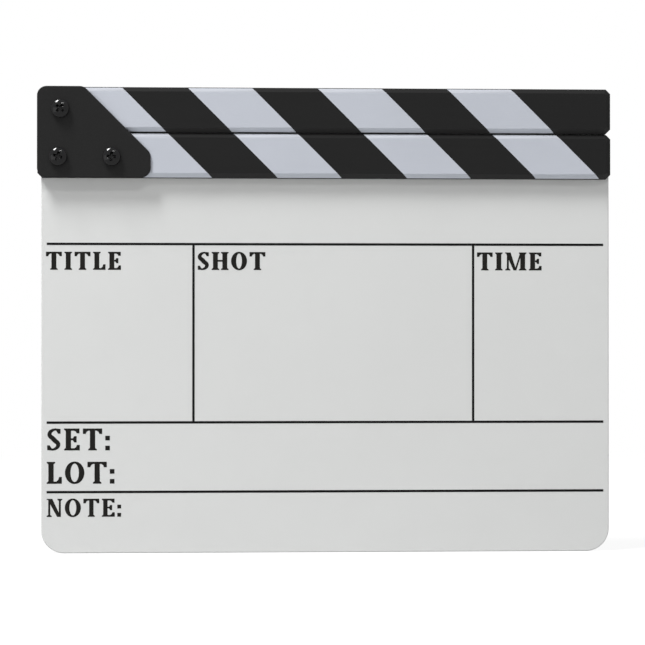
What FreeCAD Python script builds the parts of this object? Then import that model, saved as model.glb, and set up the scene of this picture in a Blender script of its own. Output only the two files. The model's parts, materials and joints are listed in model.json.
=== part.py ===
"""Clapperboard: an acrylic slate in a slotted lower stick, and an upper stick swinging between two plates.

Millimetres. X runs to the right as the slate is read, Z runs up, and the written side faces -Y.
The origin is the middle of the board's bottom edge.
"""
import FreeCAD, Part
import math
import os

V = FreeCAD.Vector

# Sticks
STICK_LENGTH = 300.0
STICK_HEIGHT = 23.5
STICK_THICKNESS = 12.0
STICK_CHAMFER = 2.4
CLAP_GAP = 0.4  # between the two clap faces when shut, which is also the heel's clearance as it swings
HEEL_INSET = 0.25  # from the plates' outer edge to the upper stick's end
STICK_OVERHANG = 1.8  # of the sticks' hinge end past the board's side

# Board
BOARD_WIDTH = 297.7
BOARD_VISIBLE_HEIGHT = 195.5
BOARD_THICKNESS = 3.0
BOARD_CORNER_RADIUS = 12.0
BOARD_EDGE_BREAK = 0.4
SLOT_ROOF = 6.5  # wood left above the board's slot
SLOT_CLEARANCE = 0.1  # on each side of the board

# Hinge plates
PLATE_THICKNESS = 1.2
PLATE_WIDTH = 58.8
PLATE_TOP_WIDTH = 24.15
PLATE_RISE = 0.1  # of the plates' top edge above the shut upper stick
PLATE_TOE_HEIGHT = 12.85
PLATE_CORNER_RADIUS = 5.0
PLATE_EDGE_BREAK = 0.3
PLATE_SCREW_FROM_END = 10.9  # from the plates' outer edge to the outer plate screw
PLATE_SCREW_HEIGHT = 10.75  # of the plate screws above the plates' bottom edge
PLATE_SCREW_PITCH = 27.7  # from the outer to the inner plate screw

# Pan-head machine screws
SCREW_RADIUS = 2.5
SCREW_HOLE_CLEARANCE = 0.15
SCREW_TIP_CHAMFER = 0.5
HEAD_RADIUS = 4.65
HEAD_HEIGHT = 3.6
HEAD_DOME_RADIUS = 7.4
HEAD_RIM_FILLET = 0.6
RECESS_SPAN = 5.2
RECESS_SLOT = 1.5
RECESS_DEPTH = 2.6
RECESS_TAPER = 0.55  # size of the recess at its floor, as a share of its mouth
PIVOT_RECESS_ANGLE = 42.0
OUTER_RECESS_ANGLE = 17.0
INNER_RECESS_ANGLE = 5.0

# Nuts and washers
NUT_ACROSS_FLATS = 8.0
NUT_HEIGHT = 4.0
NUT_CORNER_BREAK = 0.5
THREAD_CLEARANCE = 0.05
PLATE_TIP_STANDOUT = 0.6
FLAT_WASHER_RADIUS = 5.0
FLAT_WASHER_THICKNESS = 1.0
LOCK_WASHER_RADIUS = 4.6
LOCK_WASHER_THICKNESS = 1.2
LOCK_WASHER_SPLIT = 0.8
LOCK_WASHER_SPLIT_ANGLE = 35.0
LOCK_NUT_HEX_HEIGHT = 3.8
LOCK_NUT_COLLAR_RADIUS = 3.75
LOCK_NUT_COLLAR_HEIGHT = 2.0
LOCK_NUT_LIP = 0.4
INSERT_RADIUS = 3.25
PIVOT_TIP_STANDOUT = 0.7

# Pivot
BUSH_WALL = 1.0
BUSH_FIT = 0.02
PIVOT_RUNNING_CLEARANCE = 0.05
THRUST_WASHER_RADIUS = 6.0
THRUST_WASHER_THICKNESS = 0.4
THRUST_RUNNING_GAP = 0.05

# Magnets in the clap faces
MAGNET_RADIUS = 2.5
MAGNET_THICKNESS = 3.0
MAGNET_RECESS = 0.4
MAGNET_POCKET_CLEARANCE = 0.05
MAGNET_FROM_END = 20.0

# Countersunk screws that hold the board in its slot, from the rear
BOARD_SCREW_COUNT = 3
BOARD_SCREW_PITCH = 67.75
BOARD_SCREW_FROM_END = 67.6  # from the far end of the slot or of the board, whichever is nearer
BOARD_SCREW_RADIUS = 1.5
BOARD_SCREW_HEAD_RADIUS = 2.8
BOARD_SCREW_FRONT_WALL = 2.0  # wood left in front of the screw's tip
BOARD_SCREW_HOLE_CLEARANCE = 0.1
BOARD_RECESS_SPAN = 2.9
BOARD_RECESS_SLOT = 0.8
BOARD_RECESS_DEPTH = 1.2
BOARD_RECESS_ANGLE = 20.0  # of the first screw's recess
BOARD_RECESS_TURN = 35.0  # from one screw's recess to the next

OVERCUT = 1.0  # how far a cutting tool runs past the face it enters

# Places that follow from the sizes above
board_left = -BOARD_WIDTH / 2
board_right = BOARD_WIDTH / 2
stick_left = board_left - STICK_OVERHANG
stick_right = stick_left + STICK_LENGTH
lower_bottom = BOARD_VISIBLE_HEIGHT
lower_top = lower_bottom + STICK_HEIGHT
upper_bottom = lower_top + CLAP_GAP
upper_top = upper_bottom + STICK_HEIGHT
plate_top = upper_top + PLATE_RISE
lower_axis_z = lower_bottom + STICK_HEIGHT / 2
heel_radius = STICK_HEIGHT / 2
pivot_x = stick_left + HEEL_INSET + heel_radius
pivot_z = upper_bottom + heel_radius
outer_screw = (stick_left + PLATE_SCREW_FROM_END, lower_bottom + PLATE_SCREW_HEIGHT)
inner_screw = (outer_screw[0] + PLATE_SCREW_PITCH, outer_screw[1])
stick_front = -STICK_THICKNESS / 2
stick_rear = STICK_THICKNESS / 2
plate_front = stick_front - PLATE_THICKNESS
plate_rear = stick_rear + PLATE_THICKNESS
upper_front = stick_front + THRUST_WASHER_THICKNESS + THRUST_RUNNING_GAP
upper_rear = -upper_front
board_top = lower_top - SLOT_ROOF
screw_hole_radius = SCREW_RADIUS + SCREW_HOLE_CLEARANCE
bush_bore_radius = SCREW_RADIUS + PIVOT_RUNNING_CLEARANCE
bush_radius = bush_bore_radius + BUSH_WALL
magnet_x = stick_right - MAGNET_FROM_END
board_screw_hole_radius = BOARD_SCREW_RADIUS + BOARD_SCREW_HOLE_CLEARANCE
board_screw_tip = stick_front + BOARD_SCREW_FRONT_WALL
last_board_screw_x = min(stick_right, board_right) - BOARD_SCREW_FROM_END
board_screw_places = [
    (last_board_screw_x - i * BOARD_SCREW_PITCH, lower_axis_z)
    for i in range(BOARD_SCREW_COUNT)
]


def outline(corners, y):
    """A closed wire in the plane at y through corners (x, z, radius), rounded where radius is over zero."""
    edges = []
    points = []
    for i, (x, z, radius) in enumerate(corners):
        here = V(x, y, z)
        if radius <= 0:
            points.append((here, here, None))
            continue
        before = V(corners[i - 1][0], y, corners[i - 1][1])
        after = V(corners[(i + 1) % len(corners)][0], y, corners[(i + 1) % len(corners)][1])
        into = (before - here).normalize()
        out = (after - here).normalize()
        half = into.getAngle(out) / 2
        reach = radius / math.tan(half)
        bisector = (into + out).normalize()
        middle = here + bisector * (radius / math.sin(half) - radius)
        points.append((here + into * reach, here + out * reach, middle))
    for i, (start, end, middle) in enumerate(points):
        if middle is not None:
            edges.append(Part.Arc(start, middle, end).toShape())
        following = points[(i + 1) % len(points)][0]
        if end.distanceToPoint(following) > 1e-6:
            edges.append(Part.LineSegment(end, following).toShape())
    return Part.Wire(edges)


def sheet(corners, front, rear):
    """A flat solid of that outline between two Y places."""
    return Part.Face(outline(corners, front)).extrude(V(0, rear - front, 0))


def rod(radius, front, rear, place):
    """A cylinder along Y at place (x, z)."""
    return Part.makeCylinder(radius, rear - front, V(place[0], front, place[1]), V(0, 1, 0))


def ring(radius, bore, front, rear, place):
    """A washer, bush or collar along Y at place (x, z)."""
    return rod(radius, front, rear, place).cut(rod(bore, front - OVERCUT, rear + OVERCUT, place))


def turned(profile, place):
    """A solid turned about the Y axis at place (x, z), from a closed profile of (radius, y) points."""
    points = [V(r, y, 0) for r, y in profile]
    face = Part.Face(Part.makePolygon(points + points[:1]))
    solid = face.revolve(V(0, 0, 0), V(0, 1, 0), 360)
    return solid.translated(V(place[0], 0, place[1]))


def face_edges(solid, y):
    """The edges of a solid that lie flat in the plane at y."""
    return [e for e in solid.Edges if abs(e.BoundBox.YMin - y) < 1e-6 and abs(e.BoundBox.YMax - y) < 1e-6]


def chamfered(solid, size, front, rear):
    """The solid with its front and rear outlines chamfered."""
    return solid.makeChamfer(size, face_edges(solid, front) + face_edges(solid, rear))


def bar_corners(left, right, bottom, top, heel=0.0):
    """A stick's outline: each corner cut off, or the bottom-left one rounded to the heel's radius."""
    c = STICK_CHAMFER
    first = [(left, bottom, heel)] if heel else [(left, bottom + c, 0), (left + c, bottom, 0)]
    return first + [
        (right - c, bottom, 0),
        (right, bottom + c, 0),
        (right, top - c, 0),
        (right - c, top, 0),
        (left + c, top, 0),
        (left, top - c, 0),
    ]


def cross_recess(span, slot, depth, mouth, direction, angle, place):
    """The cross-shaped driver recess, cut from y = mouth towards +Y or -Y by direction."""
    def rectangle(share, y):
        a, b = span / 2 * share, slot / 2 * share
        return Part.makePolygon([V(-a, y, -b), V(a, y, -b), V(a, y, b), V(-a, y, b), V(-a, y, -b)])

    floor = mouth + direction * depth
    wing = Part.makeLoft([rectangle(1, mouth), rectangle(RECESS_TAPER, floor)], True, True)
    crossed = wing.copy()
    crossed.rotate(V(0, 0, 0), V(0, 1, 0), 90)
    cross = wing.fuse(crossed)
    cross.rotate(V(0, 0, 0), V(0, 1, 0), angle)
    return cross.translated(V(place[0], 0, place[1]))


def magnet_pocket(clap_face, direction):
    """The blind hole for a magnet, from a clap face into its stick."""
    depth = MAGNET_THICKNESS + MAGNET_RECESS
    radius = MAGNET_RADIUS + MAGNET_POCKET_CLEARANCE
    start = V(magnet_x, 0, clap_face - direction * OVERCUT)
    return Part.makeCylinder(radius, depth + OVERCUT, start, V(0, 0, direction))


def magnet(clap_face, direction):
    """A disc magnet, a little below its clap face."""
    start = V(magnet_x, 0, clap_face + direction * MAGNET_RECESS)
    return Part.makeCylinder(MAGNET_RADIUS, MAGNET_THICKNESS, start, V(0, 0, direction))


def slate_board():
    r = BOARD_CORNER_RADIUS
    corners = [
        (board_left, 0, r),
        (board_right, 0, r),
        (board_right, board_top, 0),
        (board_left, board_top, 0),
    ]
    front, rear = -BOARD_THICKNESS / 2, BOARD_THICKNESS / 2
    board = chamfered(sheet(corners, front, rear), BOARD_EDGE_BREAK, front, rear)
    for place in (outer_screw, inner_screw):
        board = board.cut(rod(screw_hole_radius, front - OVERCUT, rear + OVERCUT, place))
    for place in board_screw_places:
        board = board.cut(rod(board_screw_hole_radius, front - OVERCUT, rear + OVERCUT, place))
    return board


def lower_stick():
    corners = bar_corners(stick_left, stick_right, lower_bottom, lower_top)
    stick = chamfered(sheet(corners, stick_front, stick_rear), STICK_CHAMFER, stick_front, stick_rear)
    slot_width = BOARD_THICKNESS + 2 * SLOT_CLEARANCE
    slot = Part.makeBox(
        STICK_LENGTH + 2 * OVERCUT,
        slot_width,
        board_top - lower_bottom + OVERCUT,
        V(stick_left - OVERCUT, -slot_width / 2, lower_bottom - OVERCUT),
    )
    stick = stick.cut(slot)
    for place in (outer_screw, inner_screw):
        stick = stick.cut(rod(screw_hole_radius, stick_front - OVERCUT, stick_rear + OVERCUT, place))
    for place in board_screw_places:
        stick = stick.cut(board_screw_shape(place, BOARD_SCREW_HOLE_CLEARANCE))
    return stick.cut(magnet_pocket(lower_top, -1))


def upper_stick():
    left = pivot_x - heel_radius
    corners = bar_corners(left, stick_right, upper_bottom, upper_top, heel_radius)
    stick = chamfered(sheet(corners, upper_front, upper_rear), STICK_CHAMFER, upper_front, upper_rear)
    bush_seat = rod(bush_radius + BUSH_FIT, upper_front - OVERCUT, upper_rear + OVERCUT, (pivot_x, pivot_z))
    return stick.cut(bush_seat).cut(magnet_pocket(upper_bottom, 1))


def hinge_plate(front, rear, shown):
    """A corner plate with three screw holes, its edges broken on the shown face."""
    r = PLATE_CORNER_RADIUS
    corners = [
        (stick_left, lower_bottom, r),
        (stick_left + PLATE_WIDTH, lower_bottom, r),
        (stick_left + PLATE_WIDTH, lower_bottom + PLATE_TOE_HEIGHT, r),
        (stick_left + PLATE_TOP_WIDTH, plate_top, r),
        (stick_left, plate_top, r),
    ]
    plate = sheet(corners, front, rear)
    plate = plate.makeChamfer(PLATE_EDGE_BREAK, face_edges(plate, shown))
    for place in ((pivot_x, pivot_z), outer_screw, inner_screw):
        plate = plate.cut(rod(screw_hole_radius, front - OVERCUT, rear + OVERCUT, place))
    return plate


def pan_head_screw(place, tip, recess_angle):
    """A domed cross-recess screw whose head bears on the front plate, with its tip at y = tip."""
    sagitta = HEAD_DOME_RADIUS - math.sqrt(HEAD_DOME_RADIUS**2 - HEAD_RADIUS**2)
    rim = HEAD_HEIGHT - sagitta
    crown = plate_front - HEAD_HEIGHT
    dome = Part.makeSphere(HEAD_DOME_RADIUS, V(place[0], crown + HEAD_DOME_RADIUS, place[1]))
    head = rod(HEAD_RADIUS, crown, plate_front, place).common(dome)
    rim_edges = [e for e in face_edges(head, plate_front - rim) if e.Closed]
    head = head.makeFillet(HEAD_RIM_FILLET, rim_edges)
    shank = turned(
        [
            (0, plate_front),
            (SCREW_RADIUS, plate_front),
            (SCREW_RADIUS, tip - SCREW_TIP_CHAMFER),
            (SCREW_RADIUS - SCREW_TIP_CHAMFER, tip),
            (0, tip),
        ],
        place,
    )
    recess = cross_recess(RECESS_SPAN, RECESS_SLOT, RECESS_DEPTH, crown, 1, recess_angle, place)
    return head.fuse(shank).removeSplitter().cut(recess)


def hexagon(bearing, height, place):
    """A nut's hexagonal prism with its six corners turned off at both ends."""
    corner = NUT_ACROSS_FLATS / math.sqrt(3)
    points = []
    for i in range(6):
        turn = i * math.pi / 3
        points.append((place[0] + corner * math.cos(turn), place[1] + corner * math.sin(turn), 0))
    b = NUT_CORNER_BREAK
    barrel = turned(
        [
            (0, bearing),
            (corner - b, bearing),
            (corner, bearing + b / 2),
            (corner, bearing + height - b / 2),
            (corner - b, bearing + height),
            (0, bearing + height),
        ],
        place,
    )
    return sheet(points, bearing, bearing + height).common(barrel)


def plain_nut(place, bearing):
    bore = rod(SCREW_RADIUS + THREAD_CLEARANCE, bearing - OVERCUT, bearing + NUT_HEIGHT + OVERCUT, place)
    return hexagon(bearing, NUT_HEIGHT, place).cut(bore)


def lock_washer(place, bearing):
    """A flattened spring washer with one slanted split."""
    rear = bearing + LOCK_WASHER_THICKNESS
    washer = ring(LOCK_WASHER_RADIUS, screw_hole_radius, bearing, rear, place)
    length = LOCK_WASHER_RADIUS + OVERCUT
    depth = LOCK_WASHER_THICKNESS + 2 * length
    split = Part.makeBox(length, depth, LOCK_WASHER_SPLIT, V(0, -depth / 2, -LOCK_WASHER_SPLIT / 2))
    split.rotate(V(0, 0, 0), V(1, 0, 0), LOCK_WASHER_SPLIT_ANGLE)
    return washer.cut(split.translated(V(place[0], (bearing + rear) / 2, place[1])))


def pivot_lock_nut(bearing):
    """The hinge's lock nut: a hexagon with a turned collar that holds the nylon insert."""
    place = (pivot_x, pivot_z)
    collar_start = bearing + LOCK_NUT_HEX_HEIGHT
    end = collar_start + LOCK_NUT_COLLAR_HEIGHT
    collar = rod(LOCK_NUT_COLLAR_RADIUS, collar_start, end, place)
    nut = hexagon(bearing, LOCK_NUT_HEX_HEIGHT, place).fuse(collar).removeSplitter()
    bore = rod(SCREW_RADIUS + THREAD_CLEARANCE, bearing - OVERCUT, end + OVERCUT, place)
    seat = rod(INSERT_RADIUS, collar_start, end - LOCK_NUT_LIP, place)
    mouth = rod((INSERT_RADIUS + SCREW_RADIUS) / 2, end - LOCK_NUT_LIP - OVERCUT, end + OVERCUT, place)
    return nut.cut(bore).cut(seat).cut(mouth)


def pivot_nut_insert(bearing):
    front = bearing + LOCK_NUT_HEX_HEIGHT
    rear = front + LOCK_NUT_COLLAR_HEIGHT - LOCK_NUT_LIP
    return ring(INSERT_RADIUS, SCREW_RADIUS + THREAD_CLEARANCE, front, rear, (pivot_x, pivot_z))


def board_screw_shape(place, clearance):
    """A countersunk screw let in flush from the rear, grown by clearance where it is used as a cutter."""
    r = BOARD_SCREW_RADIUS + clearance
    head = BOARD_SCREW_HEAD_RADIUS + clearance
    return turned(
        [
            (0, board_screw_tip - clearance),
            (r, board_screw_tip - clearance),
            (r, stick_rear - (head - r)),
            (head, stick_rear),
            (0, stick_rear),
        ],
        place,
    )


def board_screws():
    """The screws that pin the board in its slot, one solid each."""
    screws = []
    for i, place in enumerate(board_screw_places):
        angle = BOARD_RECESS_ANGLE + i * BOARD_RECESS_TURN
        recess = cross_recess(
            BOARD_RECESS_SPAN, BOARD_RECESS_SLOT, BOARD_RECESS_DEPTH, stick_rear, -1, angle, place
        )
        screws.append(board_screw_shape(place, 0).cut(recess))
    return Part.makeCompound(screws)


def thrust_washer(front):
    return ring(
        THRUST_WASHER_RADIUS, screw_hole_radius, front, front + THRUST_WASHER_THICKNESS, (pivot_x, pivot_z)
    )


def build():
    """Every node of the part, by name."""
    pivot = (pivot_x, pivot_z)
    lock_nut_rear = plate_rear + LOCK_NUT_HEX_HEIGHT + LOCK_NUT_COLLAR_HEIGHT
    nodes = {
        "slate_board": slate_board(),
        "lower_stick": lower_stick(),
        "board_screws": board_screws(),
        "lower_magnet": magnet(lower_top, -1),
        "front_hinge_plate": hinge_plate(plate_front, stick_front, plate_front),
        "rear_hinge_plate": hinge_plate(stick_rear, plate_rear, plate_rear),
        "pivot_screw": pan_head_screw(pivot, lock_nut_rear + PIVOT_TIP_STANDOUT, PIVOT_RECESS_ANGLE),
        "pivot_lock_nut": pivot_lock_nut(plate_rear),
        "pivot_nut_insert": pivot_nut_insert(plate_rear),
        "front_thrust_washer": thrust_washer(stick_front),
        "rear_thrust_washer": thrust_washer(stick_rear - THRUST_WASHER_THICKNESS),
        "upper_stick": upper_stick(),
        "pivot_bush": ring(bush_radius, bush_bore_radius, upper_front, upper_rear, pivot),
        "upper_magnet": magnet(upper_bottom, 1),
    }
    lock_washer_front = plate_rear + FLAT_WASHER_THICKNESS
    nut_front = lock_washer_front + LOCK_WASHER_THICKNESS
    tip = nut_front + NUT_HEIGHT + PLATE_TIP_STANDOUT
    for name, place, angle in (
        ("outer", outer_screw, OUTER_RECESS_ANGLE),
        ("inner", inner_screw, INNER_RECESS_ANGLE),
    ):
        nodes[f"{name}_plate_screw"] = pan_head_screw(place, tip, angle)
        nodes[f"{name}_flat_washer"] = ring(
            FLAT_WASHER_RADIUS, screw_hole_radius, plate_rear, lock_washer_front, place
        )
        nodes[f"{name}_lock_washer"] = lock_washer(place, lock_washer_front)
        nodes[f"{name}_plate_nut"] = plain_nut(place, nut_front)
    return nodes


os.makedirs("parts", exist_ok=True)
for name, shape in build().items():
    shape.exportStep(f"parts/{name}.step")
    print(f"{name}: {len(shape.Solids)} solid(s), {shape.Volume:.1f} mm3, valid {shape.isValid()}")
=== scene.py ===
"""Looks of a film clapperboard: painted sticks, printed slate, hinge, fasteners and a pale stage."""

import json
import math

import bmesh
import bpy
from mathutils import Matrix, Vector
from mathutils.geometry import delaunay_2d_cdt, interpolate_bezier


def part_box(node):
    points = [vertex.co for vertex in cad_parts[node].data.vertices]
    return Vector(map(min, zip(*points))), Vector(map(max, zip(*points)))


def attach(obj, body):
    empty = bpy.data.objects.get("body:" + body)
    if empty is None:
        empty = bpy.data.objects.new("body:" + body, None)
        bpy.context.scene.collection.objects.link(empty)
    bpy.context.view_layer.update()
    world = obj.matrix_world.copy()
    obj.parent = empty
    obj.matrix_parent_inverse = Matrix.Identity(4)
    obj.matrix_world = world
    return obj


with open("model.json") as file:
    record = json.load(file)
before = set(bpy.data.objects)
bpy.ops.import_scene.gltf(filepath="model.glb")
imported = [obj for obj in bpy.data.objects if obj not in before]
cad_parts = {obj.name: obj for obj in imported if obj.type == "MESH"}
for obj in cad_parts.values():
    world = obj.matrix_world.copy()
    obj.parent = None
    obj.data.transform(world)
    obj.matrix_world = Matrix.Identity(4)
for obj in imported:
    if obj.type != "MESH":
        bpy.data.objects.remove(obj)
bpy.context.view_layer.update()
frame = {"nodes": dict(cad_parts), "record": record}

bl_info = {
    "name": "Clapperboard looks",
    "version": (1, 0, 0),
    "blender": (4, 5, 0),
    "location": "3D View > Sidebar > Clapperboard",
    "description": "Paints, prints and lights a film clapperboard around its fixed frame",
    "category": "Object",
}

MM = 0.001
MICRON = 0.000001
WHITE = (1.0, 1.0, 1.0, 1.0)

# Places taken from the frame
board_low, board_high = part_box("slate_board")
lower_low, lower_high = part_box("lower_stick")
upper_low, upper_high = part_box("upper_stick")
stick_left = lower_low.x
stripe_top = upper_high.z
board_front = board_low.y


# Settings that a user would change

def srgb(red, green, blue):
    """A colour as it is read on screen, from 0 to 255, as the linear values that a shader takes."""
    def linear(value):
        share = value / 255
        return share / 12.92 if share <= 0.04045 else ((share + 0.055) / 1.055) ** 2.4

    return linear(red), linear(green), linear(blue)


def length(name, description, millimetres):
    """A length setting, kept in metres."""
    return bpy.props.FloatProperty(
        name=name, description=description, default=millimetres * MM, precision=5, unit="LENGTH"
    )


def place(name, description, default):
    """A point setting, in metres."""
    return bpy.props.FloatVectorProperty(
        name=name, description=description, default=default, size=3, precision=5, subtype="XYZ_LENGTH"
    )


def sides(name, description, default):
    """The width and height of a lamp, in metres."""
    return bpy.props.FloatVectorProperty(
        name=name, description=description, default=default, size=2, min=0.0, unit="LENGTH"
    )


def power(name, description, watts):
    """The power of a lamp."""
    return bpy.props.FloatProperty(name=name, description=description, default=watts, min=0.0, unit="POWER")


def tint(name, description, default):
    """A colour setting, in linear values."""
    return bpy.props.FloatVectorProperty(
        name=name, description=description, default=default, size=3, min=0.0, max=1.0, subtype="COLOR"
    )


def share(name, description, default):
    """A setting from 0 to 1."""
    return bpy.props.FloatProperty(
        name=name, description=description, default=default, min=0.0, max=1.0, subtype="FACTOR"
    )


class StripeSettings(bpy.types.PropertyGroup):
    """The slanted white stripes painted on both sticks."""

    count: bpy.props.IntProperty(
        name="Stripes", description="White stripes on each stick", default=4, min=1
    )
    first: length("First stripe", "From the hinge end to the first white stripe, along the top edge", 10.1)
    pitch: length("Pitch", "From one white stripe to the next, along the stick", 67.75)
    width: length("Width", "Width of a white stripe along the stick", 33.45)
    film: length("Paint film", "Thickness of the white paint over the black", 0.07)
    sunk: length("Film depth", "How far the film reaches into the stick, so that no gap shows", 0.1)
    chamfer: length("Stick chamfer", "Chamfer along the sticks' edges that the film follows", 2.4)
    bare: length("Bare edge", "Black left along the chamfers where the white paint stops", 0.5)
    crest: length("Crest", "Black left along the upper stick's top edge", 0.65)
    turn: length("Turn", "How far beside a chamfer's edge the paint starts to round over", 0.35)
    tuck: length("Tuck", "How much earlier the first lower stripe starts, under the hinge plates", 3.0)


class PrintSettings(bpy.types.PropertyGroup):
    """The lines and words screen printed on the slate."""

    film: length("Ink film", "Thickness of the printed ink", 0.05)
    line: length("Line width", "Width of the printed lines", 1.25)
    margin: length("Margin", "From the board's sides to the ends of the lines", 2.9)
    top_line: length("Top line", "Height of the line over the cells", 161.2)
    middle_line: length("Middle line", "Height of the line under the cells", 68.1)
    low_line: length("Low line", "Height of the line over the last row", 31.88)
    left_column: length("Left column", "Place of the line right of the first cell", -69.62)
    right_column: length("Right column", "Place of the line left of the last cell", 77.07)
    cell_capital: length("Cell capitals", "Height of the words in the cells", 9.4)
    cell_weight: share("Cell weight", "Stem width in the cells, as a share of the capitals' height", 0.27)
    cell_drop: length("Cell drop", "From the top line down to the foot of the words in the cells", 13.5)
    cell_indent: length("Cell indent", "From a column line to the word beside it", 2.05)
    first_indent: length("First indent", "From the board's side to the first cell's word", 2.5)
    row_capital: length("Row capitals", "Height of the words in the two middle rows", 11.4)
    row_weight: share("Row weight", "Stem width in the rows, as a share of the capitals' height", 0.24)
    last_capital: length("Last capitals", "Height of the word in the last row", 9.4)
    row_indent: length("Row indent", "From the board's side to the words in the rows", 2.95)
    first_row: length("First row", "Height of the first row's words", 53.6)
    second_row: length("Second row", "Height of the second row's words", 36.25)
    last_row: length("Last row", "Height of the last row's words", 19.0)


class FinishSettings(bpy.types.PropertyGroup):
    """Colours of the finishes, and how far edges are softened."""

    acrylic: tint("Acrylic", "Satin white sheet of the slate", srgb(211, 212, 211))
    black_paint: tint("Black paint", "Satin paint all over the sticks", srgb(29, 29, 29))
    # Painted shade: black paint darkened where it faces up.
    black_upper: tint("Black upper edges", "Black paint where it faces up", srgb(20, 20, 20))
    # Painted light: black paint lightened on edges that slope down.
    black_lower: tint("Black lower edges", "Black paint on edges that slope down", srgb(48, 48, 48))
    white_paint: tint("White paint", "Cool white paint of the stripes", srgb(188, 192, 201))
    # Painted shade: white paint darkened where it faces up.
    white_upper: tint("White upper edges", "White paint where it faces up", srgb(166, 169, 176))
    # Painted light: white paint lightened on edges that slope down.
    white_lower: tint("White lower edges", "White paint on edges that slope down", srgb(202, 207, 216))
    bare_wood: tint("Bare wood", "Old wood that shows where the paint is rubbed", srgb(70, 67, 64))
    powder: tint("Powder coat", "Fine black coat of the hinge plates", srgb(26, 26, 26))
    oxide: tint("Black oxide", "Dark oxide of the screws", srgb(6, 6, 7))
    steel: tint("Bare steel", "Steel that shows where the oxide is rubbed", srgb(196, 196, 194))
    zinc: tint("Zinc", "Zinc plate of nuts and washers", srgb(188, 190, 194))
    nylon: tint("Nylon", "Natural nylon of the thrust washers and the nut's insert", srgb(222, 218, 204))
    brass: tint("Brass", "Turned brass of the pivot bush", srgb(205, 168, 98))
    nickel: tint("Nickel", "Nickel plate of the magnets", srgb(206, 203, 196))
    line_ink: tint("Line ink", "Ink of the printed lines", srgb(10, 10, 10))
    word_ink: tint("Word ink", "Ink of the printed words", srgb(24, 23, 21))
    stick_edge: length("Stick edges", "Softening along the sticks' edges", 0.4)
    sheet_edge: length("Sheet edges", "Softening of the board's and the plates' edges", 0.12)
    metal_edge: length("Metal edges", "Softening of the fasteners' edges", 0.1)


class StageSettings(bpy.types.PropertyGroup):
    """Camera, light and floor."""

    camera: place("Camera", "Where the camera stands", (-0.05959, -1.2, 0.11486))
    target: place("Target", "The point that the camera and the lamps look at", (-0.00207, 0.0, 0.12026))
    lens: bpy.props.FloatProperty(
        name="Lens", description="Focal length of the lens", default=127.86, min=1.0, unit="CAMERA"
    )
    tall_box: place("Tall softbox", "Where the tall softbox hangs, high on the left", (-1.459, -1.05, 3.3))
    tall_box_sides: sides("Tall softbox size", "Width and height of the tall softbox", (0.63, 1.27))
    tall_box_power: power("Tall softbox power", "Power of the tall softbox", 190.0)
    wide_box: place("Wide softbox", "Where the wide softbox hangs, on the right", (0.856, -2.2, 2.9))
    wide_box_sides: sides("Wide softbox size", "Width and height of the wide softbox", (1.1, 0.12))
    wide_box_power: power("Wide softbox power", "Power of the wide softbox", 21.0)
    low_fill: place("Low fill", "Where the low fill stands, on the left", (-0.45, -0.45, 0.08))
    low_fill_sides: sides("Low fill size", "Width and height of the low fill", (0.5, 0.5))
    low_fill_power: power("Low fill power", "Power of the low fill", 0.74)
    rear_fill: place("Rear fill", "Where the rear fill stands, behind the board", (0.5, 1.9, 1.1))
    rear_fill_sides: sides("Rear fill size", "Width and height of the rear fill", (1.6, 1.6))
    rear_fill_power: power("Rear fill power", "Power of the rear fill", 27.5)
    ambient: share("Ambient", "Level of the soft light from all round", 0.24)
    floor_size: length("Floor size", "Side of the square floor", 12000.0)
    floor_tone: tint("Floor tone", "Tone of the light that the floor throws back", (0.36, 0.36, 0.36))
    floor_paper: tint("Floor paper", "White paper of the floor as it is seen", (0.95, 0.95, 0.95))
    floor_glow: share("Floor glow", "Share of plain white in the paper beside the object", 0.88)
    glow_start: length("Glow start", "Distance at which the paper starts to turn plain white", 300.0)
    glow_end: length("Glow end", "Distance at which the paper is plain white", 1000.0)


# Shader trees

def find_socket(sockets, key):
    """A socket by its place, its identifier or its name."""
    if isinstance(key, str):
        for socket in sockets:
            if socket.identifier == key:
                return socket
    return sockets[key]


class Value:
    """One output of a tree of nodes, on which Python's operators add Math nodes."""

    def __init__(self, nodes, socket):
        self.nodes = nodes
        self.socket = socket

    def _math(self, operation, first, second):
        return self.nodes.add("ShaderNodeMath", {"operation": operation}, {0: first, 1: second})

    def __add__(self, other):
        return self._math("ADD", self, other)

    def __sub__(self, other):
        return self._math("SUBTRACT", self, other)

    def __rsub__(self, other):
        return self._math("SUBTRACT", other, self)

    def __mul__(self, other):
        return self._math("MULTIPLY", self, other)

    __radd__ = __add__
    __rmul__ = __mul__


class Nodes:
    """A tree of nodes under construction."""

    def __init__(self, tree):
        self.tree = tree
        tree.nodes.clear()

    def add(self, kind, settings=None, sockets=None, output=0):
        """Adds a node with its settings, gives its sockets values or links, and returns one output."""
        node = self.tree.nodes.new(kind)
        for name, setting in (settings or {}).items():
            setattr(node, name, setting)
        for key, value in (sockets or {}).items():
            socket = find_socket(node.inputs, key)
            if isinstance(value, Value):
                self.tree.links.new(value.socket, socket)
            else:
                socket.default_value = value
        return Value(self, find_socket(node.outputs, output)) if node.outputs else None

    def step(self, value, low, high):
        """0 below low, 1 above high, and a smooth rise between."""
        return self.add(
            "ShaderNodeMapRange", {"interpolation_type": "SMOOTHSTEP"},
            {"Value": value, "From Min": low, "From Max": high}, "Result",
        )

    def blend(self, share_of_second, first, second):
        """One shader, with a share of a second."""
        return self.add("ShaderNodeMixShader", None, {0: share_of_second, 1: first, 2: second})

    def seen(self):
        """1 for what is seen straight, or in metal and glass, and 0 for light that falls on things."""
        unseen = 1.0
        for ray in ("Is Camera Ray", "Is Glossy Ray", "Is Transmission Ray"):
            unseen = (1 - self.add("ShaderNodeLightPath", output=ray)) * unseen
        return 1 - unseen


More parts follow.
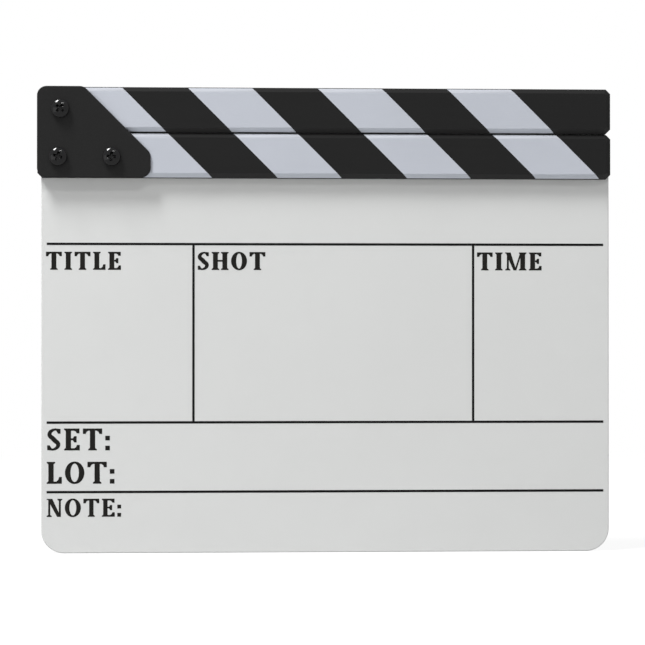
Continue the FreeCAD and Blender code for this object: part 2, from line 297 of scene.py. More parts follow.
class Finish(Nodes):
    """A procedural material, with patterns that follow the piece's own place in metres."""

    def __init__(self, name):
        self.material = bpy.data.materials.new(name)
        self.material.use_nodes = True
        super().__init__(self.material.node_tree)
        self.place = self.add("ShaderNodeTexCoord", output="Object")

    def turned(self, degrees):
        """The piece's own place, turned about the Y axis."""
        turn = (0.0, math.radians(degrees), 0.0)
        return self.add(
            "ShaderNodeMapping", {"vector_type": "TEXTURE"}, {"Vector": self.place, "Rotation": turn}
        )

    def noise(self, scale, detail=3.0, place=None):
        """Noise with that many waves a metre, or with a count along each axis."""
        counts = scale if isinstance(scale, tuple) else (scale, scale, scale)
        scaled = self.add(
            "ShaderNodeVectorMath", {"operation": "MULTIPLY"}, {0: place or self.place, 1: counts}
        )
        return self.add(
            "ShaderNodeTexNoise", None, {"Vector": scaled, "Scale": 1.0, "Detail": detail}, "Fac"
        )

    def mix(self, share_of_second, first, second):
        """The first colour, with a share of the second."""
        return self.add(
            "ShaderNodeMix", {"data_type": "RGBA"},
            {"Factor_Float": share_of_second, "A_Color": first, "B_Color": second}, "Result_Color",
        )

    def edges(self, radius):
        """1 on edges, fading to 0 within the radius."""
        rounded_normal = self.add("ShaderNodeBevel", {"samples": 8}, {"Radius": radius})
        normal = self.add("ShaderNodeNewGeometry", output="Normal")
        alike = self.add(
            "ShaderNodeVectorMath", {"operation": "DOT_PRODUCT"}, {0: rounded_normal, 1: normal}, "Value"
        )
        return self.step(1 - alike, 0.01, 0.2)

    def coat(self, colour, roughness, height, depth, metallic=0.0, **constants):
        """Ends the tree in one Principled shader whose bumps are depth metres high."""
        bump = self.add("ShaderNodeBump", None, {"Height": height, "Strength": 1.0, "Distance": depth})
        sockets = {"Base Color": colour, "Roughness": roughness, "Normal": bump, "Metallic": metallic}
        for name, value in constants.items():
            sockets[name.replace("_", " ")] = value
        shader = self.add("ShaderNodeBsdfPrincipled", None, sockets)
        self.add("ShaderNodeOutputMaterial", None, {"Surface": shader})
        return self.material


def opaque(colour, level=1.0):
    """A colour for a socket, brighter or darker by level."""
    return (*(min(1.0, part * level) for part in colour), 1.0)


# Finishes

def acrylic_sheet(colour):
    """Satin acrylic: faintly cloudy, with wiping hairlines in two directions and a slightly uneven gloss."""
    finish = Finish("acrylic_sheet")
    cloud = finish.noise(11.0)
    haze = finish.step(finish.noise(38.0, detail=5.0), 0.45, 0.75)
    rising = finish.noise((25.0, 200.0, 1400.0), place=finish.turned(7.0))
    falling = finish.noise((25.0, 200.0, 1700.0), place=finish.turned(-16.0))
    hairlines = finish.step(rising + falling, 1.18, 1.5)
    grain = finish.noise(2600.0)
    shade = finish.mix(0.5 * finish.step(cloud, 0.3, 0.7), opaque(colour), opaque(colour, 0.965))
    smudged = finish.mix(0.3 * haze + 0.25 * hairlines, shade, opaque(colour, 0.95))
    roughness = 0.34 + 0.1 * (cloud - 0.5) + 0.1 * haze + 0.12 * hairlines
    return finish.coat(smudged, roughness, 0.6 * grain - hairlines, depth=10 * MICRON, IOR=1.49)


def stick_paint(finishes, tone, wear_share, specular):
    """Satin paint on a wooden stick with its grain, plus painted shade on faces turned up and painted light
    on edges sloping down.
    """
    colour = getattr(finishes, tone + "_paint")
    painted_shade_tone = getattr(finishes, tone + "_upper")
    painted_light_tone = getattr(finishes, tone + "_lower")
    finish = Finish(tone + "_paint")
    grain = finish.noise((16.0, 320.0, 320.0), detail=5.0)
    pores = finish.step(finish.noise((70.0, 2200.0, 2200.0)), 0.6, 0.78)
    dust = finish.noise(900.0)
    patches = finish.noise(24.0)
    wear = finish.edges(0.5 * MM) * finish.step(finish.noise(160.0, detail=6.0), 0.46, 0.66)
    normal = finish.add("ShaderNodeTexCoord", output="Normal")
    lean = finish.add("ShaderNodeSeparateXYZ", None, {0: normal}, "Z")
    # Painted shade: faces turned up take a darker tone, chosen by the piece's own normal.
    painted_shade_mask = finish.step(lean, 0.0, 0.35)
    # Painted light: edges sloping down take a lighter tone, chosen by the piece's own normal.
    painted_light_mask = finish.step(-1 * lean, 0.0, 0.35) - finish.step(-1 * lean, 0.8, 0.95)
    aged = finish.mix(0.6 * finish.step(patches, 0.35, 0.75), opaque(colour), opaque(colour, 0.93))
    with_painted_shade = finish.mix(painted_shade_mask, aged, opaque(painted_shade_tone))
    with_painted_light = finish.mix(painted_light_mask, with_painted_shade, opaque(painted_light_tone))
    worn = finish.mix(wear_share * wear, with_painted_light, opaque(finishes.bare_wood))
    roughness = 0.66 + 0.14 * (grain - 0.5) + 0.1 * (patches - 0.5) + 0.08 * pores
    height = grain + 0.35 * dust - 0.6 * pores
    return finish.coat(worn, roughness, height, depth=30 * MICRON, Specular_IOR_Level=specular)


def powder_coat(colour):
    """Fine textured powder coat: pebbled, with a little polish along the edges."""
    finish = Finish("powder_coat")
    pebbles = finish.noise(1700.0, detail=2.0)
    fine = finish.noise(4200.0)
    patches = finish.noise(45.0)
    wear = finish.edges(0.5 * MM) * finish.step(finish.noise(260.0, detail=6.0), 0.42, 0.62)
    dusty = finish.mix(0.5 * finish.step(pebbles, 0.45, 0.7), opaque(colour), opaque(colour, 1.3))
    worn = finish.mix(0.2 * wear, dusty, opaque(colour, 5.0))
    roughness = 0.52 + 0.14 * (patches - 0.5) + 0.12 * (fine - 0.5) - 0.14 * wear
    height = pebbles + 0.4 * fine
    return finish.coat(worn, roughness, height, depth=40 * MICRON, Specular_IOR_Level=0.13)


def black_oxide(colour, steel):
    """Oiled black oxide on steel, a little rubbed along the recess and the rim."""
    finish = Finish("black_oxide")
    mottle = finish.noise(620.0, detail=4.0)
    fine = finish.noise(5200.0)
    bright = finish.edges(0.22 * MM) * finish.step(mottle, 0.38, 0.56)
    oiled = finish.mix(finish.step(mottle, 0.4, 0.7), opaque(colour), opaque(colour, 1.3))
    worn = finish.mix(0.06 * bright, oiled, opaque(steel))
    roughness = 0.11 + 0.06 * (mottle - 0.5)
    height = mottle + 0.5 * fine
    metallic = 0.15 * bright
    return finish.coat(worn, roughness, height, 6 * MICRON, metallic, Specular_IOR_Level=0.25)


def zinc_plate(colour):
    """Bright zinc: crystalline mottling, fine drawing lines and patchy yellowed stains."""
    finish = Finish("zinc_plate")
    spangle = finish.noise(900.0, detail=5.0)
    drawn = finish.noise((2600.0, 260.0, 2600.0))
    stain = finish.step(finish.noise(240.0), 0.42, 0.7)
    yellowed = (colour[0], 0.97 * colour[1], 0.88 * colour[2])
    toned = finish.mix(0.5 * stain, opaque(colour), opaque(yellowed, 0.82))
    shade = finish.mix(0.4 * finish.step(spangle, 0.4, 0.65), toned, opaque(colour, 0.78))
    roughness = 0.3 + 0.22 * (spangle - 0.5) + 0.1 * stain
    return finish.coat(shade, roughness, 0.5 * spangle + drawn, depth=12 * MICRON, metallic=1.0)


def natural_nylon(colour):
    """Milky nylon with faint moulding flow."""
    finish = Finish("natural_nylon")
    flow = finish.noise((300.0, 900.0, 500.0), detail=4.0)
    fine = finish.noise(3000.0)
    shade = finish.mix(finish.step(flow, 0.35, 0.7), opaque(colour), opaque(colour, 0.9))
    roughness = 0.42 + 0.15 * (flow - 0.5)
    height = 0.5 * flow + fine
    return finish.coat(
        shade, roughness, height, depth=10 * MICRON, Subsurface_Weight=0.15, Subsurface_Scale=1 * MM
    )


def turned_brass(colour):
    """Brass with fine rings left by the lathe and a little tarnish."""
    finish = Finish("turned_brass")
    rings = finish.noise((180.0, 4200.0, 180.0))
    tarnish = finish.step(finish.noise(320.0, detail=5.0), 0.45, 0.75)
    browned = (colour[0], 0.85 * colour[1], 0.7 * colour[2])
    shade = finish.mix(0.6 * tarnish, opaque(colour), opaque(browned, 0.7))
    roughness = 0.27 + 0.12 * (rings - 0.5) + 0.2 * tarnish
    return finish.coat(shade, roughness, rings, depth=12 * MICRON, metallic=1.0)


def nickel_plate(colour):
    """Bright nickel with faint rub marks."""
    finish = Finish("nickel_plate")
    rubs = finish.noise((500.0, 3600.0, 500.0), detail=4.0)
    mottle = finish.noise(700.0)
    shade = finish.mix(0.4 * finish.step(mottle, 0.4, 0.7), opaque(colour), opaque(colour, 0.86))
    roughness = 0.2 + 0.18 * (rubs - 0.5) + 0.08 * (mottle - 0.5)
    return finish.coat(shade, roughness, rubs, depth=8 * MICRON, metallic=1.0)


def screen_ink(name, colour):
    """Screen-printed ink: dense and matt, a little thin in places."""
    finish = Finish(name)
    mesh = finish.noise(3800.0)
    density = finish.noise(260.0, detail=5.0)
    shade = finish.mix(0.7 * finish.step(density, 0.5, 0.78), opaque(colour), opaque(colour, 1.8))
    roughness = 0.6 + 0.2 * (density - 0.5) + 0.1 * (mesh - 0.5)
    return finish.coat(shade, roughness, mesh + density, depth=10 * MICRON, Specular_IOR_Level=0.1)


# The frame's pieces and new ones

def smooth_shading():
    """The node group that shades every face of a mesh smooth."""
    group = bpy.data.node_groups.new("smooth_shading", "GeometryNodeTree")
    for direction in ("INPUT", "OUTPUT"):
        group.interface.new_socket("Geometry", in_out=direction, socket_type="NodeSocketGeometry")
    nodes = Nodes(group)
    mesh = nodes.add("NodeGroupInput")
    smooth = nodes.add("GeometryNodeSetShadeSmooth", None, {"Geometry": mesh})
    nodes.add("NodeGroupOutput", None, {0: smooth})
    return group


def add_modifier(piece, name, kind, **settings):
    """Adds a modifier and sets it."""
    modifier = piece.modifiers.new(name, kind)
    for setting, value in settings.items():
        setattr(modifier, setting, value)


def clean_up(piece):
    """Joins a frame piece's points and its flat faces, so that only real edges are left."""
    add_modifier(piece, "weld", "WELD", merge_threshold=MICRON)
    add_modifier(piece, "flatten", "DECIMATE", decimate_type="DISSOLVE", angle_limit=0.01)


def soften(piece, width, segments=3):
    """Rounds a frame piece's sharp edges, so that they catch light, and shades it smooth."""
    add_modifier(
        piece, "softening", "BEVEL",
        width=width, segments=segments, limit_method="ANGLE", angle_limit=math.radians(29),
    )
    shading = bpy.data.node_groups.get("smooth_shading") or smooth_shading()
    add_modifier(piece, "shading", "NODES", node_group=shading)
    add_modifier(piece, "weighting", "WEIGHTED_NORMAL", keep_sharp=False)


def dress(node, material):
    """Gives a frame piece its finish."""
    for slot in frame["nodes"][node].material_slots:
        slot.material = material


def new_piece(name, build, material, body):
    """Adds a piece from a bmesh, with sharp edges kept and round ones shaded smooth."""
    bmesh.ops.recalc_face_normals(build, faces=build.faces)
    mesh = bpy.data.meshes.new(name)
    build.to_mesh(mesh)
    build.free()
    mesh.shade_smooth()
    mesh.set_sharp_from_angle(angle=math.radians(50))
    mesh.materials.append(material)
    piece = bpy.data.objects.new(name, mesh)
    bpy.context.scene.collection.objects.link(piece)
    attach(piece, body)


# Painted stripes

def film_lines(low, high, stripe, grow, top_bare):
    """The film's outlines on a stick's front and rear, moved out by grow, with points for soft corners."""
    front = low.y - grow
    bottom = low.z - grow
    top = high.z + grow
    cut = stripe.chamfer + grow * (2 - math.sqrt(2))
    low_end, high_end = (cut - bare / math.sqrt(2) for bare in (stripe.bare, top_bare))
    line = [
        (front + low_end, bottom + cut - low_end),
        (front, bottom + cut),
        (front, bottom + cut + stripe.turn),
        (front, top - cut - stripe.turn),
        (front, top - cut),
        (front + high_end, top - cut + high_end),
    ]
    return [line, [(-y, z) for y, z in reversed(line)]]


def slanted(along):
    """The line at 45 degrees that is that far along the top edge from the hinge end, as x for a height."""
    return lambda z: stick_left + along + stripe_top - z


def add_band(build, outer, inner, start, end):
    """Adds one stripe: the strip between two lines, from start(z) to end(z) along the stick."""
    rings = []
    for line, side in ((outer, start), (outer, end), (inner, end), (inner, start)):
        rings.append([build.verts.new((side(z), y, z)) for y, z in line])
    for ring, following in zip(rings, rings[1:] + rings[:1]):
        for i in range(len(ring) - 1):
            build.faces.new((ring[i], ring[i + 1], following[i + 1], following[i]))
    for i in (0, -1):
        build.faces.new([ring[i] for ring in rings])


def stripes(low, high, stripe, top_bare, tuck):
    """All the white stripes of one stick as a bmesh, the first starting earlier by the tuck."""
    build = bmesh.new()
    outers, inners = (film_lines(low, high, stripe, grow, top_bare) for grow in (stripe.film, -stripe.sunk))
    for outer, inner in zip(outers, inners):
        for i in range(stripe.count):
            start = stripe.first + stripe.pitch * i
            early = tuck if i == 0 else 0.0
            add_band(build, outer, inner, slanted(start - early), slanted(start + stripe.width))
    return build


# Printed letters, drawn in units of the capitals' height

THIN = 0.1  # thickness of thin strokes
HAIR = 0.11  # thickness of thin uprights
SERIF = 0.055  # height of a serif
BRACKET = 0.12  # height at which a serif's bracket meets its stem
REACH = 0.075  # how far a serif passes its stem
BEAK = 0.125  # width of the beak at an arm's end
GAP = 0.14  # space between letters
BOWL_STEPS = 40  # sides of a round stroke
ROUNDNESS = 0.25  # share of a knot's slope in a curve's handles


def bar(left, right, low, high):
    """An upright or level stroke."""
    return [(left, low), (right, low), (right, high), (left, high)]


def slant(low_left, low_right, high_left, high_right):
    """A slanting stroke from the baseline to the capitals' top."""
    return [(low_left, 0.0), (low_right, 0.0), (high_right, 1.0), (high_left, 1.0)]


def flipped(outline):
    """An outline turned over from the baseline to the capitals' top."""
    return [(x, 1 - y) for x, y in reversed(outline)]


def reflected(outline, width):
    """An outline turned over from left to right."""
    return [(width - x, y) for x, y in reversed(outline)]


def serif(left, right, stem_left, stem_right):
    """A bracketed serif at the foot of a stem."""
    ease = 0.03
    return [
        (left, 0.0),
        (right, 0.0),
        (right, SERIF),
        (stem_right + ease, SERIF + ease),
        (stem_right, BRACKET),
        (stem_left, BRACKET),
        (stem_left - ease, SERIF + ease),
        (left, SERIF),
    ]


def stem(left, weight):
    """A thick upright with serifs on both sides at its foot and at its top."""
    right = left + weight
    foot = serif(left - REACH, right + REACH, left, right)
    return [bar(left, right, 0.0, 1.0), foot, flipped(foot)]


def arm(left, right, depth):
    """A thin arm along the baseline that ends in a beak."""
    root = right - 2 * BEAK
    waist = right - 1.35 * BEAK
    beak = [
        (root, 0.0),
        (right, 0.0),
        (right, depth),
        (right - BEAK, depth),
        (waist, THIN + 0.35 * (depth - THIN)),
        (root, THIN),
    ]
    return [bar(left, right, 0.0, THIN), beak]


def bowl(centre, outer, inner):
    """A round stroke between two ellipses."""
    angles = [2 * math.pi * i / BOWL_STEPS for i in range(BOWL_STEPS + 1)]
    turns = [(math.cos(angle), math.sin(angle)) for angle in angles]
    far, near = (
        [(centre[0] + reach[0] * x, centre[1] + reach[1] * y) for x, y in turns] for reach in (outer, inner)
    )
    return [[far[i], far[i + 1], near[i + 1], near[i]] for i in range(BOWL_STEPS)]


def anticlockwise(triangle):
    """The same triangle, with its points in anticlockwise order."""
    first, second, third = triangle
    turn = (second - first).cross(third - first)
    return [tuple(point) for point in (triangle if turn > 0 else reversed(triangle))]


def swelling(points, widths, steps=8):
    """A smooth stroke through points, as wide at each as its width says."""
    knots = [Vector((*point, 0.0)) for point in points]
    last = len(knots) - 1
    slopes = [knots[min(i + 1, last)] - knots[max(i - 1, 0)] for i in range(len(knots))]
    line = []
    spread = []
    for i in range(last):
        start, end = knots[i], knots[i + 1]
        leaving = start + ROUNDNESS * slopes[i]
        arriving = end - ROUNDNESS * slopes[i + 1]
        line += interpolate_bezier(start, leaving, arriving, end, steps + 1)[:-1]
        spread += [widths[i] + (widths[i + 1] - widths[i]) * j / steps for j in range(steps)]
    line.append(knots[-1])
    spread.append(widths[-1])
    left, right = [], []
    for i, here in enumerate(line):
        along = (line[min(i + 1, len(line) - 1)] - line[max(i - 1, 0)]).normalized()
        across = Vector((-along.y, along.x, 0.0)) * (spread[i] / 2)
        left.append((here + across).to_2d())
        right.append((here - across).to_2d())
    triangles = []
    for i in range(len(line) - 1):
        triangles.append((left[i], right[i], right[i + 1]))
        triangles.append((left[i], right[i + 1], left[i + 1]))
    return [anticlockwise(triangle) for triangle in triangles]


def letter_e(weight):
    """The letter E as its width and its strokes."""
    width = 0.715
    low_arm = arm(REACH, width, 0.25)
    tongue = [(0.4, 0.465), (0.46, 0.365), (0.57, 0.365), (0.57, 0.65), (0.46, 0.65), (0.4, 0.555)]
    middle_arm = [bar(REACH, 0.57, 0.465, 0.555), tongue]
    high_arm = [flipped(stroke) for stroke in arm(REACH, 0.7, 0.22)]
    return width, [*stem(REACH, weight), *low_arm, *middle_arm, *high_arm]


def letter_h(weight):
    """The letter H as its width and its strokes."""
    width = 0.94
    right_stem = stem(width - REACH - weight, weight)
    return width, [*stem(REACH, weight), *right_stem, bar(REACH, width - REACH, 0.46, 0.56)]


def letter_l(weight):
    """The letter L as its width and its strokes."""
    width = 0.69
    return width, [*stem(REACH, weight), *arm(REACH, width, 0.31)]


def letter_m(weight):
    """The letter M as its width and its strokes."""
    width = 1.2
    left_stem = (0.1, 0.1 + HAIR)
    return width, [
        bar(*left_stem, 0.0, 1.0),
        serif(0.01, 0.3, *left_stem),
        bar(0.0, 0.2, 1 - SERIF, 1.0),
        slant(0.47, 0.63, 0.03, 0.31),
        slant(0.53, 0.63, 0.85, 0.95),
        *stem(width - REACH - weight, weight),
    ]


def letter_n():
    """The letter N as its width and its strokes."""
    width = 0.86
    left_stem = (0.085, 0.085 + HAIR)
    right_stem = (0.67, 0.67 + HAIR)
    return width, [
        bar(*left_stem, 0.0, 1.0),
        serif(0.0, 0.28, *left_stem),
        bar(0.0, 0.2, 1 - SERIF, 1.0),
        slant(0.575, right_stem[1], 0.03, 0.31),
        bar(*right_stem, 0.0, 1.0),
        flipped(serif(0.59, width, *right_stem)),
    ]


def letter_o(weight):
    """The letter O as its width and its strokes."""
    half = 0.4425
    return 2 * half, bowl((half, 0.5), (half, 0.515), (half - 1.05 * weight, 0.42))


def letter_s(weight):
    """The letter S as its width and its strokes."""
    width = 0.65
    half = [(0.56, 0.86), (0.35, 0.955), (0.125, 0.745)]
    points = [*half, (0.325, 0.5), *((width - x, 1 - y) for x, y in reversed(half))]
    side = 0.8 * weight
    spine = swelling(points, [THIN, THIN, side, 0.88 * weight, side, THIN, THIN])
    beak = [(0.42, 0.93), (0.51, 0.765), (0.63, 0.765), (0.63, 0.985), (0.42, 1.0)]
    return width, [*spine, beak, reflected(flipped(beak), width)]


def letter_t(weight):
    """The letter T as its width and its strokes."""
    width = 0.88
    left = (width - weight) / 2
    right = left + weight
    right_arm = [flipped(stroke) for stroke in arm(width / 2, width, 0.25)]
    left_arm = [reflected(stroke, width) for stroke in right_arm]
    foot = serif(left - REACH, right + REACH, left, right)
    return width, [bar(left, right, 0.0, 1.0), foot, *right_arm, *left_arm]


def capitals(weight):
    """Each bold capital as its width and its strokes, which may overlap, with stems of that weight."""
    dot = 0.21
    return {
        "E": letter_e(weight),
        "H": letter_h(weight),
        "I": (2 * REACH + weight, stem(REACH, weight)),
        "L": letter_l(weight),
        "M": letter_m(weight),
        "N": letter_n(),
        "O": letter_o(weight),
        "S": letter_s(weight),
        "T": letter_t(weight),
        ":": (dot, [bar(0.0, dot, 0.0, dot), bar(0.0, dot, 0.455, 0.665)]),
    }


def word_strokes(word, weight, capital, left, baseline):
    """A word's strokes as (x, z) outlines on the board."""
    letters = capitals(weight)
    strokes = []
    pen = 0.0
    for letter in word:
        width, outlines = letters[letter]
        for outline in outlines:
            strokes.append([(left + (pen + x) * capital, baseline + y * capital) for x, y in outline])
        pen += width + GAP
    return strokes


def add_print(build, strokes, film):
    """Adds strokes to a bmesh as one closed film of ink on the board's front, joined where they overlap."""
    points = []
    outlines = []
    for stroke in strokes:
        outlines.append(list(range(len(points), len(points) + len(stroke))))
        points += [Vector(point) for point in stroke]
    triangles_inside = 1
    tolerance = 1e-7
    joined, _, faces, _, _, sources = delaunay_2d_cdt(
        points, [], outlines, triangles_inside, tolerance, True
    )
    verts = [build.verts.new((point.x, board_front, point.y)) for point in joined]
    inked = [build.faces.new([verts[i] for i in face]) for face, source in zip(faces, sources) if source]
    loose = [vert for vert in verts if not vert.link_faces]
    bmesh.ops.delete(build, geom=loose, context="VERTS")
    bmesh.ops.dissolve_limit(
        build,
        angle_limit=math.radians(1),
        verts=list({vert for face in inked for vert in face.verts}),
        edges=list({edge for face in inked for edge in face.edges}),
    )
    flat = list(build.faces)
    raised = bmesh.ops.extrude_face_region(build, geom=flat)["geom"]
    lifted = [item for item in raised if isinstance(item, bmesh.types.BMVert)]
    bmesh.ops.translate(build, verts=lifted, vec=(0.0, -film, 0.0))


# Operators

class CLAPPERBOARD_OT_finish_board(bpy.types.Operator):
    """Softens the slate's edges and gives it satin acrylic"""

    bl_idname = "clapperboard.finish_board"
    bl_label = "Finish the board"

    def execute(self, context):
        finishes = context.scene.clapperboard_finishes
        board = frame["nodes"]["slate_board"]
        clean_up(board)
        soften(board, finishes.sheet_edge)
        dress("slate_board", acrylic_sheet(finishes.acrylic))
        return {"FINISHED"}


class CLAPPERBOARD_OT_finish_sticks(bpy.types.Operator):
    """Softens both sticks' edges and paints them black"""

    bl_idname = "clapperboard.finish_sticks"
    bl_label = "Finish the sticks"

    def execute(self, context):
        finishes = context.scene.clapperboard_finishes
        paint = stick_paint(finishes, "black", wear_share=0.08, specular=0.1)
        for stick in ("lower_stick", "upper_stick"):
            piece = frame["nodes"][stick]
            clean_up(piece)
            soften(piece, finishes.stick_edge)
            dress(stick, paint)
        return {"FINISHED"}


class CLAPPERBOARD_OT_paint_stripes(bpy.types.Operator):
    """Paints the slanted white stripes on both sticks"""

    bl_idname = "clapperboard.paint_stripes"
    bl_label = "Paint the stripes"

    def execute(self, context):
        stripe = context.scene.clapperboard_stripes
        finishes = context.scene.clapperboard_finishes
        paint = stick_paint(finishes, "white", wear_share=0.1, specular=0.2)
        upper = stripes(upper_low, upper_high, stripe, stripe.crest, 0.0)
        lower = stripes(lower_low, lower_high, stripe, stripe.bare, stripe.tuck)
        new_piece("upper_stripes", upper, paint, "clapper")
        new_piece("lower_stripes", lower, paint, "slate")
        return {"FINISHED"}


class CLAPPERBOARD_OT_finish_plates(bpy.types.Operator):
    """Softens the hinge plates' edges and gives them black powder coat"""

    bl_idname = "clapperboard.finish_plates"
    bl_label = "Finish the hinge plates"

    def execute(self, context):
        finishes = context.scene.clapperboard_finishes
        coat = powder_coat(finishes.powder)
        for plate in ("front_hinge_plate", "rear_hinge_plate"):
            piece = frame["nodes"][plate]
            clean_up(piece)
            soften(piece, finishes.sheet_edge)
            dress(plate, coat)
        return {"FINISHED"}


class CLAPPERBOARD_OT_finish_fasteners(bpy.types.Operator):
    """Softens the screws, nuts, washers and other small parts and gives them their metals"""

    bl_idname = "clapperboard.finish_fasteners"
    bl_label = "Finish the fasteners"

    def execute(self, context):
        finishes = context.scene.clapperboard_finishes
        coats = {
            "screw_black": black_oxide(finishes.oxide, finishes.steel),
            "zinc_steel": zinc_plate(finishes.zinc),
            "nylon": natural_nylon(finishes.nylon),
            "bush_brass": turned_brass(finishes.brass),
            "magnet_nickel": nickel_plate(finishes.nickel),
        }
        for part in frame["record"]["subparts"]:
            if part["material_slot"] in coats:
                piece = frame["nodes"][part["node"]]
                clean_up(piece)
                soften(piece, finishes.metal_edge, segments=2)
                dress(part["node"], coats[part["material_slot"]])
        return {"FINISHED"}


class CLAPPERBOARD_OT_print_lines(bpy.types.Operator):
    """Prints the lines that divide the slate into cells and rows"""

    bl_idname = "clapperboard.print_lines"
    bl_label = "Print the lines"

    def execute(self, context):
        ink = context.scene.clapperboard_print
        half = ink.line / 2
        left = board_low.x + ink.margin
        right = board_high.x - ink.margin
        levels = (ink.top_line, ink.middle_line, ink.low_line)
        strokes = [bar(left, right, z - half, z + half) for z in levels]
        for x in (ink.left_column, ink.right_column):
            strokes.append(bar(x - half, x + half, ink.middle_line, ink.top_line))
        build = bmesh.new()
        add_print(build, strokes, ink.film)
        coat = screen_ink("line_ink", context.scene.clapperboard_finishes.line_ink)
        new_piece("printed_lines", build, coat, "slate")
        return {"FINISHED"}


class CLAPPERBOARD_OT_print_words(bpy.types.Operator):
    """Prints plain words in the slate's cells and rows"""

    bl_idname = "clapperboard.print_words"
    bl_label = "Print the words"

    def execute(self, context):
        ink = context.scene.clapperboard_print
        first_left = board_low.x + ink.first_indent
        row_left = board_low.x + ink.row_indent
        cell_foot = ink.top_line - ink.cell_drop
        words = (
            ("TITLE", ink.cell_weight, ink.cell_capital, first_left, cell_foot),
            ("SHOT", ink.cell_weight, ink.cell_capital, ink.left_column + ink.cell_indent, cell_foot),
            ("TIME", ink.cell_weight, ink.cell_capital, ink.right_column + ink.cell_indent, cell_foot),
            ("SET:", ink.row_weight, ink.row_capital, row_left, ink.first_row),
            ("LOT:", ink.row_weight, ink.row_capital, row_left, ink.second_row),
            ("NOTE:", ink.row_weight, ink.last_capital, row_left, ink.last_row),
        )
        build = bmesh.new()
        for word in words:
            single = bmesh.new()
            add_print(single, word_strokes(*word), ink.film)
            printed = bpy.data.meshes.new("word")
            single.to_mesh(printed)
            single.free()
            build.from_mesh(printed)
            bpy.data.meshes.remove(printed)
        coat = screen_ink("word_ink", context.scene.clapperboard_finishes.word_ink)
        new_piece("printed_words", build, coat, "slate")
        return {"FINISHED"}


class CLAPPERBOARD_OT_set_stage(bpy.types.Operator):
    """Sets the floor, the soft light and the camera"""

    bl_idname = "clapperboard.set_stage"
    bl_label = "Set the stage"

    def execute(self, context):
        stage = context.scene.clapperboard_stage
        self.lay_floor(context, stage)
        self.set_surround(context, stage)
        for name in ("tall_box", "wide_box", "low_fill"):
            self.hang_lamp(context, stage, name)
        self.hang_lamp(context, stage, "rear_fill", shadow=False)
        self.aim_camera(context, stage)
        context.scene.view_settings.view_transform = "Standard"
        return {"FINISHED"}

    def lay_floor(self, context, stage):
        """Lays a floor that is seen as white paper and throws back a duller light."""
        build = bmesh.new()
        bmesh.ops.create_grid(build, x_segments=1, y_segments=1, size=stage.floor_size / 2)
        mesh = bpy.data.meshes.new("floor")
        build.to_mesh(mesh)
        build.free()
        floor = bpy.data.objects.new("floor", mesh)
        floor.location.z = board_low.z
        context.scene.collection.objects.link(floor)
        material = bpy.data.materials.new("pale_floor")
        material.use_nodes = True
        nodes = Nodes(material.node_tree)
        spot = nodes.add("ShaderNodeNewGeometry", output="Position")
        distance = nodes.add("ShaderNodeVectorMath", {"operation": "LENGTH"}, {0: spot}, "Value")
        fade = nodes.step(distance, stage.glow_start, stage.glow_end)
        paper = nodes.add("ShaderNodeBsdfDiffuse", None, {"Color": opaque(stage.floor_paper)})
        glow = nodes.add("ShaderNodeEmission", None, {"Color": WHITE, "Strength": 1.0})
        bright = nodes.blend(stage.floor_glow + (1 - stage.floor_glow) * fade, paper, glow)
        dull = nodes.add("ShaderNodeBsdfDiffuse", None, {"Color": opaque(stage.floor_tone)})
        nodes.add("ShaderNodeOutputMaterial", None, {"Surface": nodes.blend(nodes.seen(), dull, bright)})
        mesh.materials.append(material)

    def set_surround(self, context, stage):
        """Surrounds the object with plain white that lights it only softly."""
        world = bpy.data.worlds.new("soft_surround")
        context.scene.world = world
        world.use_nodes = True
        nodes = Nodes(world.node_tree)
        strength = stage.ambient + nodes.seen() * (1 - stage.ambient)
        surround = nodes.add("ShaderNodeBackground", None, {"Color": WHITE, "Strength": strength})
        nodes.add("ShaderNodeOutputWorld", None, {"Surface": surround})

    def hang_lamp(self, context, stage, name, shadow=True):
        """Hangs one lamp by its name in the settings, turned to the target."""
        light = bpy.data.lights.new(name, "AREA")
        light.use_shadow = shadow
        light.shape = "RECTANGLE"
        light.size, light.size_y = getattr(stage, name + "_sides")
        light.energy = getattr(stage, name + "_power")
        lamp = bpy.data.objects.new(name, light)
        lamp.location = getattr(stage, name)
        lamp.rotation_euler = self.towards(lamp.location, stage.target)
        lamp.visible_camera = False
        context.scene.collection.objects.link(lamp)

    def aim_camera(self, context, stage):
        """Places the camera and turns it to the target."""
        lens = bpy.data.cameras.new("camera")
        lens.lens = stage.lens
        camera = bpy.data.objects.new("camera", lens)
        camera.location = stage.camera
        camera.rotation_euler = self.towards(stage.camera, stage.target)
        context.scene.collection.objects.link(camera)
        context.scene.camera = camera

    @staticmethod
    def towards(start, end):
        """The turn that points a lamp or a camera from start to end."""
        return (Vector(end) - Vector(start)).to_track_quat("-Z", "Y").to_euler()


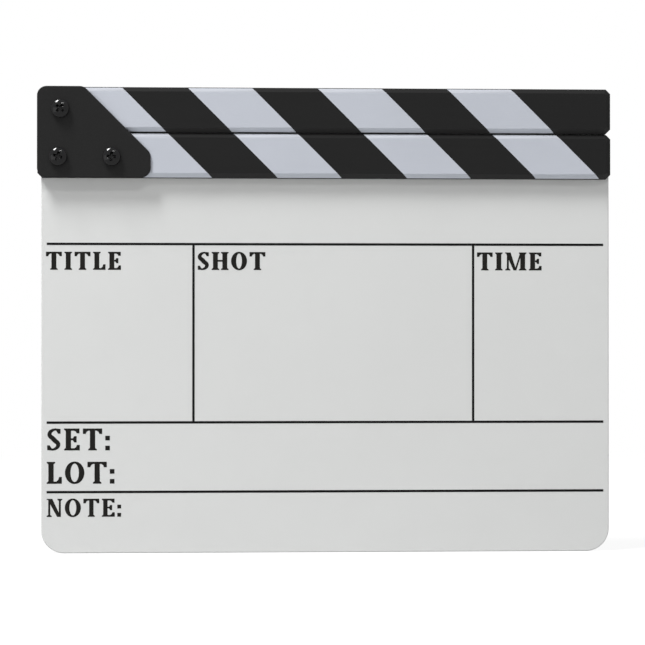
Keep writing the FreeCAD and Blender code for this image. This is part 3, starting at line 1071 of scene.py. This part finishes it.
class CLAPPERBOARD_PT_looks(bpy.types.Panel):
    """Lists the steps and their settings"""

    bl_idname = "CLAPPERBOARD_PT_looks"
    bl_label = "Clapperboard"
    bl_space_type = "VIEW_3D"
    bl_region_type = "UI"
    bl_category = "Clapperboard"

    def draw(self, context):
        for operator in OPERATORS:
            self.layout.operator(operator.bl_idname)
        for name, group in SETTINGS.items():
            settings = getattr(context.scene, name)
            column = self.layout.column(align=True)
            column.label(text=group.__doc__)
            for setting in group.__annotations__:
                column.prop(settings, setting)


SETTINGS = {
    "clapperboard_stripes": StripeSettings,
    "clapperboard_print": PrintSettings,
    "clapperboard_finishes": FinishSettings,
    "clapperboard_stage": StageSettings,
}

OPERATORS = (
    CLAPPERBOARD_OT_finish_board,
    CLAPPERBOARD_OT_finish_sticks,
    CLAPPERBOARD_OT_paint_stripes,
    CLAPPERBOARD_OT_finish_plates,
    CLAPPERBOARD_OT_finish_fasteners,
    CLAPPERBOARD_OT_print_lines,
    CLAPPERBOARD_OT_print_words,
    CLAPPERBOARD_OT_set_stage,
)


def register():
    for name, group in SETTINGS.items():
        bpy.utils.register_class(group)
        setattr(bpy.types.Scene, name, bpy.props.PointerProperty(type=group))
    for operator in OPERATORS:
        bpy.utils.register_class(operator)
    bpy.utils.register_class(CLAPPERBOARD_PT_looks)


def unregister():
    bpy.utils.unregister_class(CLAPPERBOARD_PT_looks)
    for operator in reversed(OPERATORS):
        bpy.utils.unregister_class(operator)
    for name, group in reversed(SETTINGS.items()):
        delattr(bpy.types.Scene, name)
        bpy.utils.unregister_class(group)


def main():
    """Registers the classes and runs every step."""
    register()
    bpy.ops.clapperboard.finish_board()
    bpy.ops.clapperboard.finish_sticks()
    bpy.ops.clapperboard.paint_stripes()
    bpy.ops.clapperboard.finish_plates()
    bpy.ops.clapperboard.finish_fasteners()
    bpy.ops.clapperboard.print_lines()
    bpy.ops.clapperboard.print_words()
    bpy.ops.clapperboard.set_stage()


if __name__ == "__main__":
    main()
